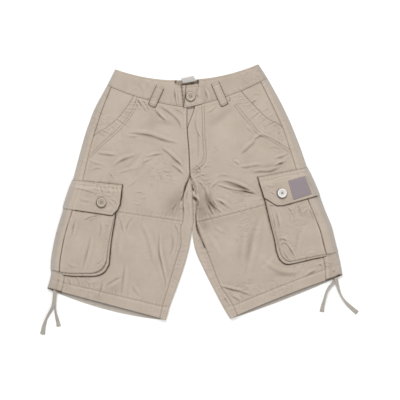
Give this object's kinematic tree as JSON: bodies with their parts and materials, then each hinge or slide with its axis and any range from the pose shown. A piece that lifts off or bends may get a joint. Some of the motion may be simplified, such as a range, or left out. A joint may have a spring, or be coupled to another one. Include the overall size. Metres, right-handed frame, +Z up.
{
  "type": "cargo shorts",
  "caption": "Knee-length twill cargo shorts laid flat, front up, with flap pockets at the sides, a button waist and drawstring hems.",
  "frame": {"origin": "centre of the shorts' bounding box without the drawstrings, on the surface they lie on", "axes": "+X to the right as seen from above, +Y from the hems towards the waist, +Z up from the surface"},
  "size_m": [0.761, 0.6476, 0.0164],
  "materials": {
    "washed_twill": "matte",
    "beige_button": "satin",
    "white_button": "satin",
    "drawstring_tape": "matte",
    "patch_cloth": "matte",
    "label_cloth": "matte"
  },
  "bodies": {
    "root": {"back_left": "washed_twill", "back_right": "washed_twill", "front_upper_left": "washed_twill", "front_upper_right": "washed_twill", "front_lower_left": "washed_twill", "front_lower_right": "washed_twill", "pocket_facing_left": "washed_twill", "pocket_facing_right": "washed_twill", "waistband_left": "washed_twill", "waistband_right": "washed_twill", "belt_loop_left": "washed_twill", "belt_loop_right": "washed_twill", "cargo_gusset_left": "washed_twill", "cargo_gusset_right": "washed_twill", "cargo_pocket_left": "washed_twill", "cargo_pocket_right": "washed_twill", "cargo_flap_left": "washed_twill", "cargo_flap_right": "washed_twill", "fly_shield": "washed_twill", "fly_button": "beige_button", "flap_button_left": "beige_button", "flap_button_right": "white_button", "drawstring_left_inner": "drawstring_tape", "drawstring_left_outer": "drawstring_tape", "drawstring_right_inner": "drawstring_tape", "drawstring_right_outer": "drawstring_tape", "flap_patch": "patch_cloth", "waist_label": "label_cloth"}
  },
  "joints": []
}
